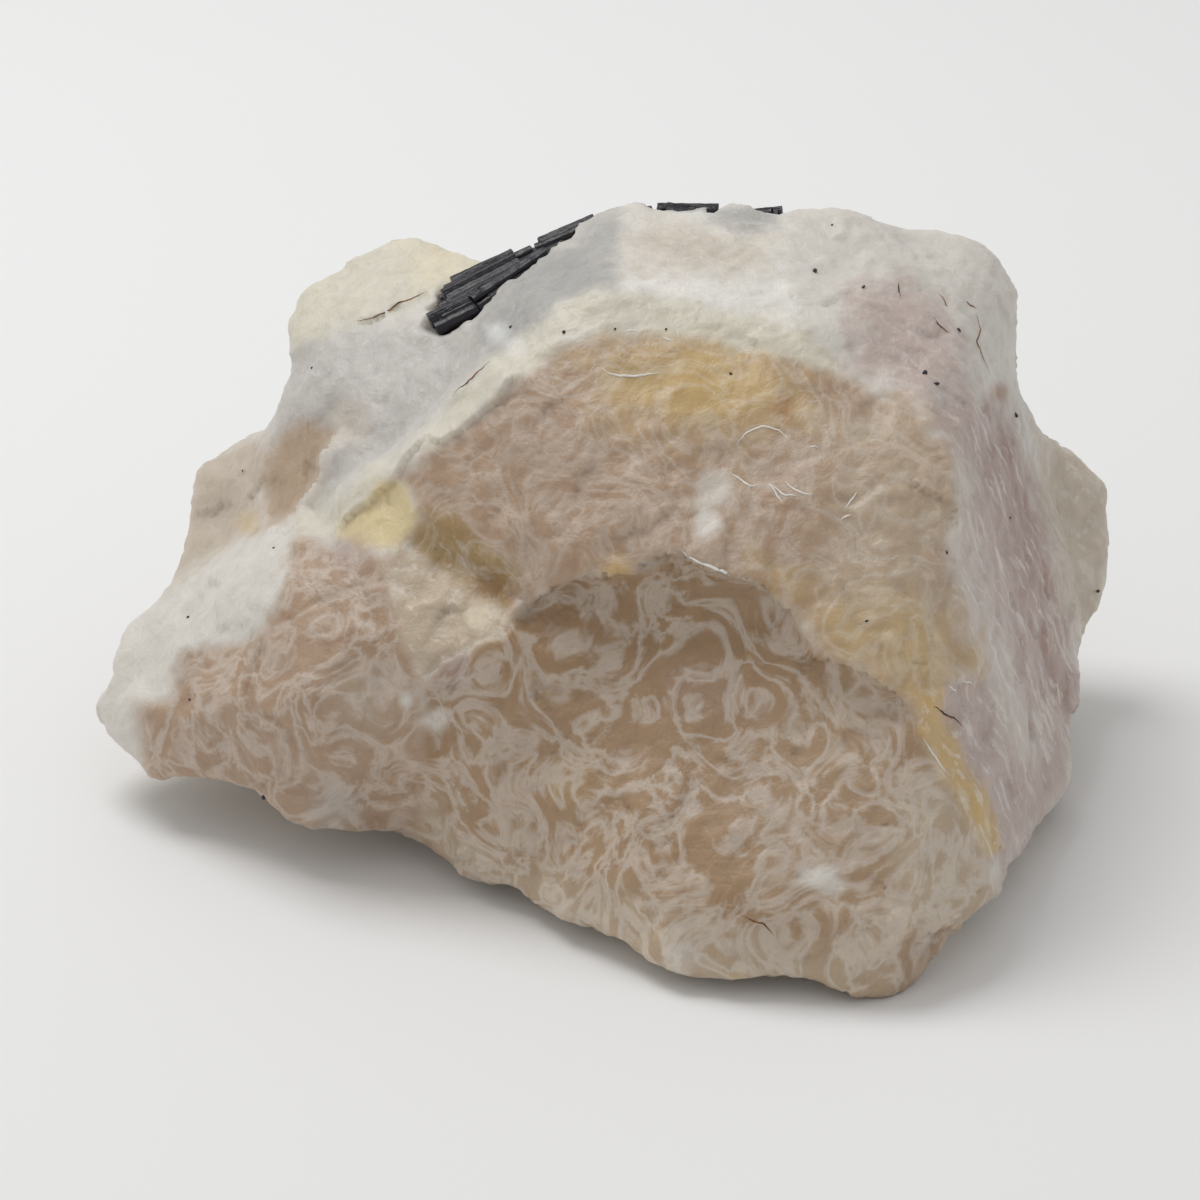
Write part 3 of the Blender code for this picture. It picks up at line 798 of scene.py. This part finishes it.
def rust_finish():
    """Iron-stained cracks."""
    finish = Finish("stained_crack")
    uneven = finish.noise(0.0012, 4, 0.6)
    colour = finish.blend(finish.step(uneven, 0.4, 0.6), flat("rust"), (0.05, 0.035, 0.025, 1))
    finish.wear(Base_Color=colour, Roughness=0.75)
    return finish.material


def floor_finish():
    finish = Finish("pale_floor")
    uneven = finish.noise(0.2, 2, 0.5)
    colour = finish.blend(uneven, (0.86, 0.86, 0.855, 1), (0.88, 0.88, 0.875, 1))
    finish.wear(Base_Color=colour, Roughness=0.8)
    return finish.material


# Bars of the tourmaline: start and end as px from the left, px from the top and depth in mm, and the radius in mm
SEAM_BARS = (
    ((431, 320, 1.2), (498, 287, 2.0), 2.0),
    ((440, 307, 3.2), (520, 265, 4.6), 2.3),
    ((442, 294, 6.2), (530, 253, 7.4), 1.9),
    ((476, 301, 1.0), (545, 256, 4.6), 1.6),
    ((505, 272, 5.2), (570, 240, 6.8), 2.0),
    ((530, 253, 7.8), (595, 225, 8.2), 1.8),
    ((579, 232, 8.5), (664, 216, 8.8), 1.8),
    ((648, 207, 5.8), (713, 214, 5.0), 1.2),
    ((643, 216, 8.8), (723, 217, 8.0), 1.8),
    ((702, 218, 8.0), (778, 211, 6.2), 1.4),
)
SEAM_SUNK = 0.5  # mm that the bars' axes lie below the place where they are drawn

# Black grains on the front: px from the left, px from the top and length in mm
GRAINS_SEEN = (
    (564, 332, 0.6), (666, 329, 0.45), (615, 329, 0.4), (832, 225, 0.5), (925, 373, 0.9), (936, 384, 0.7),
    (959, 330, 0.6), (1010, 518, 0.4), (947, 553, 0.5), (867, 621, 0.4), (731, 374, 0.4), (312, 368, 0.5),
    (274, 548, 0.4), (188, 617, 0.4), (190, 700, 0.4), (264, 797, 0.9), (1098, 591, 0.5),
)

# Painted highlights, white lines where fresh breaks catch the light: thickness in mm, then px places along each
GLINT_LINES = (
    (0.16, (600, 368), (609, 373), (619, 376), (640, 376), (663, 372)),
    (0.14, (663, 336), (670, 340), (676, 340)),
    (0.12, (623, 333), (631, 330), (638, 331)),
    (0.13, (728, 471), (740, 479), (750, 486), (757, 485), (763, 482)),
    (0.13, (785, 481), (795, 490), (805, 494), (815, 494)),
    (0.12, (769, 483), (784, 495), (799, 496)),
    (0.12, (768, 482), (775, 492), (783, 505)),
    (0.13, (846, 508), (852, 498), (858, 490)),
    (0.12, (840, 521), (846, 516), (852, 514)),
    (0.12, (735, 447), (745, 433), (762, 426), (780, 430), (790, 440)),
    (0.12, (808, 447), (814, 446), (820, 448)),
    (0.16, (947, 685), (957, 692)),
    (0.16, (962, 681), (975, 682)),
    (0.18, (678, 548), (693, 560), (722, 571), (745, 579), (763, 586)),
    (0.14, (922, 736), (932, 752), (940, 765), (950, 776)),
)
STAINED_LINES = (
    (0.10, (898, 281), (899, 290), (900, 299)),
    (0.10, (965, 300), (970, 305), (976, 308)),
    (0.10, (974, 309), (981, 330), (976, 341), (982, 356), (990, 374)),
    (0.09, (939, 293), (944, 300), (949, 308)),
    (0.09, (931, 315), (940, 326), (953, 334)),
    (0.12, (930, 703), (945, 715), (955, 718), (965, 730)),
    (0.10, (740, 915), (752, 920), (765, 925), (775, 937)),
    (0.10, (354, 322), (372, 318), (390, 310), (397, 303), (415, 297), (430, 290)),
    (0.10, (452, 397), (465, 385), (478, 371), (492, 360)),
)


def in_space(x, y, depth):
    """The place in mm that is seen at this px of the front view and lies at this depth."""
    direction = sight_line(x, y)
    return EYE + direction * (SIGHT + depth) / (direction @ AWAY)


def polylines(name, lines, columns):
    """A mesh of open lines. Each line is its places in mm and its values of the named columns, one a place."""
    places = [place for line, _ in lines for place in line]
    edges = []
    first = 0
    for line, _ in lines:
        edges += [(first + step, first + step + 1) for step in range(len(line) - 1)]
        first += len(line)
    mesh = bpy.data.meshes.new(name)
    mesh.from_pydata([tuple(np.array(place) * MM) for place in places], edges, [])
    for index, column in enumerate(columns):
        layer = mesh.attributes.new(column, "FLOAT", "POINT")
        layer.data.foreach_set("value", [row[index] for _, rows in lines for row in rows])
    return mesh


class Shaper(Nodes):
    """A geometry node tree with named inputs, which ends in real faces with a material."""

    def __init__(self, name, inputs):
        super().__init__(bpy.data.node_groups.new(name, "GeometryNodeTree"))
        sockets = self.tree.interface
        sockets.new_socket("Geometry", in_out="INPUT", socket_type="NodeSocketGeometry")
        for label, kind, value in inputs:
            made = sockets.new_socket(label, in_out="INPUT", socket_type="NodeSocket" + kind)
            if value is not None:
                made.default_value = value
        sockets.new_socket("Material", in_out="INPUT", socket_type="NodeSocketMaterial")
        sockets.new_socket("Geometry", in_out="OUTPUT", socket_type="NodeSocketGeometry")
        self.given = self.node("NodeGroupInput").outputs

    def named(self, name):
        """A number kept at each point."""
        found = self.node("GeometryNodeInputNamedAttribute", {"data_type": "FLOAT"}, {"Name": name})
        return self.number(found.outputs["Attribute"])

    def close(self, geometry):
        real = self.node("GeometryNodeRealizeInstances", {}, {"Geometry": geometry}).outputs[0]
        values = {"Geometry": real, "Material": self.given["Material"]}
        done = self.node("GeometryNodeSetMaterial", {}, values).outputs[0]
        self.node("NodeGroupOutput", {}, {"Geometry": done})
        return self.tree

    def swept(self, curve, profile, radius):
        """The profile carried along the curve, closed at its ends."""
        values = {"Curve": curve, "Radius": radius}
        sized = self.node("GeometryNodeSetCurveRadius", {}, values).outputs[0]
        values = {"Curve": sized, "Profile Curve": profile, "Fill Caps": True}
        sweep = self.node("GeometryNodeCurveToMesh", {}, values)
        if "Scale" in sweep.inputs:
            self.put(sweep.inputs["Scale"], self.node("GeometryNodeInputRadius").outputs[0])
        return sweep.outputs[0]

    def resampled(self, curve, step):
        values = {"Curve": curve, "Length": step}
        return self.node("GeometryNodeResampleCurve", {"mode": "LENGTH"}, values).outputs[0]

    def sum_of_vectors(self, operation, **values):
        """Vector maths: the first values by name, for instance a number to scale by."""
        made = self.node("ShaderNodeVectorMath", {"operation": operation})
        for key, value in values.items():
            self.put(made.inputs[{"a": 0, "b": 1, "scale": 3}[key]], value)
        return made.outputs[0]

    def roughened(self, geometry, size, rise):
        """Every point moved along its normal by noise of this size, up to this rise."""
        bumps = self.node("ShaderNodeTexNoise", {}, {"Scale": 1 / size, "Detail": 3.0}).outputs["Fac"]
        rises = (self.number(bumps) - 0.5) * self.number(rise)
        normal = self.node("GeometryNodeInputNormal").outputs[0]
        offset = self.sum_of_vectors("SCALE", a=normal, scale=rises)
        values = {"Geometry": geometry, "Offset": offset}
        return self.node("GeometryNodeSetPosition", {}, values).outputs[0]


def prism_tree():
    """Sweeps a bowed, finely ribbed three-sided profile along each line of the mesh."""
    inputs = (("Bow", "Float", 0.1), ("Rib Depth", "Float", 0.05), ("Step", "Float", 0.0004), ("Wear", "Float", 0.0003))
    shaper = Shaper("Striated Prisms", inputs)
    given = shaper.given
    circle = shaper.node("GeometryNodeCurvePrimitiveCircle", {}, {"Resolution": 40, "Radius": 1.0})
    at = shaper.node("GeometryNodeInputPosition").outputs[0]
    parts = shaper.node("ShaderNodeSeparateXYZ", {}, {0: at}).outputs
    angle = shaper.number(parts[1]).worked("ARCTAN2", shaper.number(parts[1]), shaper.number(parts[0]))
    bowed = (angle * 3.0).worked("COSINE", angle * 3.0) * shaper.number(given["Bow"])
    ribbed = (angle * 13.0).worked("COSINE", angle * 13.0) * shaper.number(given["Rib Depth"])
    shaped = shaper.sum_of_vectors("SCALE", a=at, scale=bowed + ribbed + 1.0)
    values = {"Geometry": circle.outputs[0], "Position": shaped}
    profile = shaper.node("GeometryNodeSetPosition", {}, values).outputs[0]

    curve = shaper.node("GeometryNodeMeshToCurve", {}, {"Mesh": given["Geometry"]}).outputs[0]
    rolled = shaper.node("GeometryNodeSetCurveTilt", {}, {"Curve": curve, "Tilt": shaper.named("roll")}).outputs[0]
    curve = shaper.resampled(rolled, given["Step"])
    body = shaper.swept(curve, profile, shaper.named("half_width"))
    return shaper.close(shaper.roughened(body, 0.0012, given["Wear"]))


def line_tree():
    """Lays each line of the mesh on the stone and makes it a thin, tapered, half-sunk ridge."""
    inputs = (("Stone", "Object", None), ("Step", "Float", 0.0003), ("Wander", "Float", 0.0004))
    shaper = Shaper("Laid Lines", inputs)
    given = shaper.given
    curve = shaper.node("GeometryNodeMeshToCurve", {}, {"Mesh": given["Geometry"]}).outputs[0]
    curve = shaper.resampled(curve, given["Step"])
    shaken = shaper.node("ShaderNodeTexNoise", {}, {"Scale": 900.0, "Detail": 2.0}).outputs["Color"]
    middle = shaper.sum_of_vectors("SUBTRACT", a=shaken, b=(0.5, 0.5, 0.5))
    offset = shaper.sum_of_vectors("SCALE", a=middle, scale=given["Wander"])
    curve = shaper.node("GeometryNodeSetPosition", {}, {"Geometry": curve, "Offset": offset}).outputs[0]
    stone = shaper.node("GeometryNodeObjectInfo", {}, {"Object": given["Stone"]}).outputs["Geometry"]
    near = shaper.node("GeometryNodeProximity", {}, {0: stone}).outputs["Position"]
    curve = shaper.node("GeometryNodeSetPosition", {}, {"Geometry": curve, "Position": near}).outputs[0]
    along = shaper.number(shaper.node("GeometryNodeSplineParameter").outputs["Factor"]) * math.pi
    taper = along.worked("SINE", along) * shaper.named("half_width")
    values = {"Resolution": 6, "Radius": 1.0}
    circle = shaper.node("GeometryNodeCurvePrimitiveCircle", {}, values).outputs[0]
    return shaper.close(shaper.swept(curve, circle, taper))


def grain_tree():
    """Puts a small, uneven crystal on every point of the mesh."""
    shaper = Shaper("Scattered Grains", (("Seed", "Int", 0), ("Wear", "Float", 0.0001)))
    given = shaper.given
    crystal = shaper.node("GeometryNodeMeshIcoSphere", {}, {"Radius": 1.0, "Subdivisions": 2}).outputs[0]
    values = {0: (0.5, 0.5, 0.5), 1: (0.8, 1.0, 1.5), "Seed": given["Seed"]}
    shape = shaper.node("FunctionNodeRandomValue", {"data_type": "FLOAT_VECTOR"}, values).outputs[0]
    size = shaper.sum_of_vectors("SCALE", a=shape, scale=shaper.named("half_width"))
    turn_most = (math.tau, math.tau, math.tau)
    values = {0: (0.0, 0.0, 0.0), 1: turn_most, "Seed": given["Seed"]}
    turn = shaper.node("FunctionNodeRandomValue", {"data_type": "FLOAT_VECTOR"}, values).outputs[0]
    values = {"Points": given["Geometry"], "Instance": crystal, "Rotation": turn, "Scale": size}
    placed = shaper.node("GeometryNodeInstanceOnPoints", {}, values).outputs[0]
    real = shaper.node("GeometryNodeRealizeInstances", {}, {"Geometry": placed}).outputs[0]
    return shaper.close(shaper.roughened(real, 0.0004, given["Wear"]))


def grown(name, mesh, tree, values):
    """The mesh that the tree makes of this one, as a plain piece."""
    piece = add_piece(name, mesh)
    modifier = piece.modifiers.new("Shape", "NODES")
    modifier.node_group = tree
    for item in tree.interface.items_tree:
        if item.item_type == "SOCKET" and item.in_out == "INPUT" and item.name in values:
            modifier[item.identifier] = values[item.name]
    settle(piece)
    return piece


def finished(piece, material, slot, *nodes):
    """Gives a piece its finish and its place in the frame."""
    piece.data.materials.clear()
    piece.data.materials.append(material)
    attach(piece, BODY)
    if nodes:
        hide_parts(*nodes)
    return piece


def blades(per_bar, seed):
    """The lines of the prisms: several thin ones inside each bar of the seam."""
    draw = random.Random(seed)
    lines = []
    for start, end, radius in SEAM_BARS:
        first = in_space(*start) - (0, 0, SEAM_SUNK)
        last = in_space(*end) - (0, 0, SEAM_SUNK)
        along = (last - first) / np.linalg.norm(last - first)
        side = np.cross(along, (0, 0, 1))
        side /= np.linalg.norm(side)
        over = np.cross(side, along)
        for _ in range(per_bar):
            turn = draw.uniform(0, math.tau)
            out = radius * draw.uniform(0.1, 0.6)
            shift = side * math.cos(turn) * out + over * math.sin(turn) * out
            width = radius * draw.uniform(0.4, 0.62)
            near = first + shift + along * draw.uniform(-0.5, 2.5)
            far = last + shift + along * draw.uniform(-2.5, 0.5)
            roll = draw.uniform(0, math.tau)
            line = [near + (far - near) * share for share in (0, 0.33, 0.66, 1)]
            lines.append((line, [(width, roll)] * 4))
    return lines


def laid_lines(name, lines, stone, tree):
    """Thin lines thrown onto the stone from the front view's eye."""
    search = tree_of(stone.data)
    thrown = []
    for half_width, *points in lines:
        places = [on_stone(search, x, y)[0] for x, y in points]
        thrown.append((places, [(half_width * MM,)] * len(places)))
    mesh = polylines(name, thrown, ("half_width",))
    return grown(name, mesh, tree, {"Stone": stone})


class QuartzSettings(bpy.types.PropertyGroup):
    cell: bpy.props.FloatProperty(
        name="Cell", description="Size of the surface's mesh cells", default=0.0006, unit="LENGTH"
    )
    chip_rise: bpy.props.FloatProperty(
        name="Chip Rise", description="How far tilted chips stand out", default=0.0007, unit="LENGTH"
    )
    rough_rise: bpy.props.FloatProperty(
        name="Rough Rise", description="Height of the fine roughness", default=0.00022, unit="LENGTH"
    )


class TourmalineSettings(bpy.types.PropertyGroup):
    per_bar: bpy.props.IntProperty(
        name="Prisms per Bar", description="Thin prisms grown together in each bar", default=7, min=1
    )
    rib_depth: bpy.props.FloatProperty(
        name="Rib Depth", description="Depth of the striae, as a share of a prism's width", default=0.05
    )
    seed: bpy.props.IntProperty(name="Seed", description="Another seed lays the prisms another way", default=4)


class GrainSettings(bpy.types.PropertyGroup):
    unseen: bpy.props.IntProperty(
        name="Unseen Grains", description="Grains on the sides that the front doesn't show", default=14, min=0
    )
    seed: bpy.props.IntProperty(name="Seed", description="Another seed lays the grains another way", default=9)


class StageSettings(bpy.types.PropertyGroup):
    key: bpy.props.FloatProperty(
        name="Key Light", description="Strength of the large light above", default=3.0, unit="POWER"
    )
    sky: bpy.props.FloatProperty(name="Sky", description="Strength of the light all round", default=0.55)
    floor: bpy.props.FloatProperty(
        name="Floor", description="Half the floor's side", default=4.0, unit="LENGTH"
    )


class QUARTZ_OT_lump(bpy.types.Operator):
    """Builds the broken lump of milky quartz"""

    bl_idname = "quartz.lump"
    bl_label = "Quartz Lump"

    def execute(self, context):
        wish = context.scene.quartz_settings
        stone = quartz_surface(wish.cell, wish.chip_rise, wish.rough_rise)
        finished(stone, quartz_finish(), "rose_quartz", "rose_quartz")
        return {"FINISHED"}


class QUARTZ_OT_tourmaline(bpy.types.Operator):
    """Builds the seam of striated black prisms"""

    bl_idname = "quartz.tourmaline"
    bl_label = "Tourmaline Seam"

    def execute(self, context):
        wish = context.scene.tourmaline_settings
        lines = blades(wish.per_bar, wish.seed)
        lines = [(line, [(width * MM, roll) for width, roll in rows]) for line, rows in lines]
        mesh = polylines("tourmaline_prisms", lines, ("half_width", "roll"))
        seam = grown("tourmaline_prisms", mesh, prism_tree(), {"Rib Depth": wish.rib_depth})
        finished(seam, black_finish(), "black_tourmaline", "tourmaline_vein")
        return {"FINISHED"}


class QUARTZ_OT_grains(bpy.types.Operator):
    """Sets small black grains into the quartz"""

    bl_idname = "quartz.grains"
    bl_label = "Black Grains"

    def execute(self, context):
        wish = context.scene.grain_settings
        stone = bpy.data.objects["quartz_lump"]
        search = tree_of(stone.data)
        draw = random.Random(wish.seed)
        spots = [(on_stone(search, x, y)[0], length) for x, y, length in GRAINS_SEEN]
        places = corners_of(stone.data)
        beyond = [place for place in places[:: len(places) // 997] if place[1] > 5 and place[2] > 3]
        spots += [(place, draw.uniform(0.3, 0.8)) for place in draw.sample(beyond, wish.unseen)]
        lines = [([place], [(length / 2 * MM,)]) for place, length in spots]
        mesh = polylines("black_grains", lines, ("half_width",))
        grains = grown("black_grains", mesh, grain_tree(), {"Seed": wish.seed})
        finished(grains, bpy.data.materials["black_tourmaline"], "black_tourmaline")
        return {"FINISHED"}


class QUARTZ_OT_glints_and_cracks(bpy.types.Operator):
    """Lays the painted highlights, white lines where fresh breaks catch the light, and the stained cracks on the quartz
    """

    bl_idname = "quartz.flaws"
    bl_label = "Breaks and Cracks"

    def execute(self, context):
        stone = bpy.data.objects["quartz_lump"]
        tree = line_tree()
        # White lines standing for light caught on fresh breaks: painted highlights
        glint_piece = laid_lines("bright_breaks", GLINT_LINES, stone, tree)
        finished(glint_piece, glint_finish(), "rose_quartz")
        stained = laid_lines("stained_cracks", STAINED_LINES, stone, tree)
        finished(stained, rust_finish(), "rose_quartz")
        return {"FINISHED"}


def aimed(thing, place, target):
    """Puts a light or the camera at a place in metres, looking at the target."""
    made = bpy.data.objects.new(thing.name, thing)
    bpy.context.scene.collection.objects.link(made)
    made.location = place
    made.rotation_euler = (Vector(target) - Vector(place)).to_track_quat("-Z", "Y").to_euler()
    return made


def add_light(name, place, side, power, colour=(1, 1, 1)):
    light = bpy.data.lights.new(name, "AREA")
    light.shape = "DISK"
    light.size = side
    light.energy = power
    light.color = colour
    return aimed(light, place, MIDDLE * MM)


class QUARTZ_OT_stage(bpy.types.Operator):
    """Sets up the pale floor, the soft light and the camera"""

    bl_idname = "quartz.stage"
    bl_label = "Stage"

    def execute(self, context):
        wish = context.scene.stage_settings
        shape = bmesh.new()
        bmesh.ops.create_grid(shape, x_segments=1, y_segments=1, size=wish.floor)
        mesh = bpy.data.meshes.new("floor")
        shape.to_mesh(mesh)
        shape.free()
        mesh.materials.append(floor_finish())
        add_piece("floor", mesh)

        world = bpy.data.worlds.new("Soft Light")
        world.use_nodes = True
        sky = world.node_tree.nodes["Background"]
        sky.inputs["Color"].default_value = (1, 1, 1, 1)
        sky.inputs["Strength"].default_value = wish.sky
        context.scene.world = world
        add_light("key", (-0.28, 0.22, 0.75), 0.5, wish.key)
        context.scene.view_settings.view_transform = "Standard"

        camera = bpy.data.cameras.new("front_view")
        camera.angle = 2 * math.atan(PICTURE / 2 / PIXELS_PER_MM / SIGHT)
        camera.clip_start = 0.01
        camera.clip_end = 20
        context.scene.camera = aimed(camera, EYE * MM, MIDDLE * MM)
        return {"FINISHED"}


class QUARTZ_PT_panel(bpy.types.Panel):
    """Lists the pieces of the specimen"""

    bl_idname = "QUARTZ_PT_panel"
    bl_label = "Rough Rose Quartz"
    bl_space_type = "VIEW_3D"
    bl_region_type = "UI"
    bl_category = "Quartz"

    def draw(self, context):
        for group in SETTINGS:
            wish = getattr(context.scene, group)
            for name in wish.__annotations__:
                self.layout.prop(wish, name)
        for maker in OPERATORS:
            self.layout.operator(maker.bl_idname)


SETTINGS = {
    "quartz_settings": QuartzSettings,
    "tourmaline_settings": TourmalineSettings,
    "grain_settings": GrainSettings,
    "stage_settings": StageSettings,
}
OPERATORS = (QUARTZ_OT_lump, QUARTZ_OT_tourmaline, QUARTZ_OT_grains, QUARTZ_OT_glints_and_cracks, QUARTZ_OT_stage)


def register():
    for made in (*SETTINGS.values(), *OPERATORS, QUARTZ_PT_panel):
        bpy.utils.register_class(made)
    for name, group in SETTINGS.items():
        setattr(bpy.types.Scene, name, bpy.props.PointerProperty(type=group))


def unregister():
    for name in SETTINGS:
        delattr(bpy.types.Scene, name)
    for made in (QUARTZ_PT_panel, *OPERATORS, *SETTINGS.values()):
        bpy.utils.unregister_class(made)


def main():
    register()
    bpy.ops.quartz.lump()
    bpy.ops.quartz.tourmaline()
    bpy.ops.quartz.grains()
    bpy.ops.quartz.flaws()
    bpy.ops.quartz.stage()


if __name__ == "__main__":
    main()
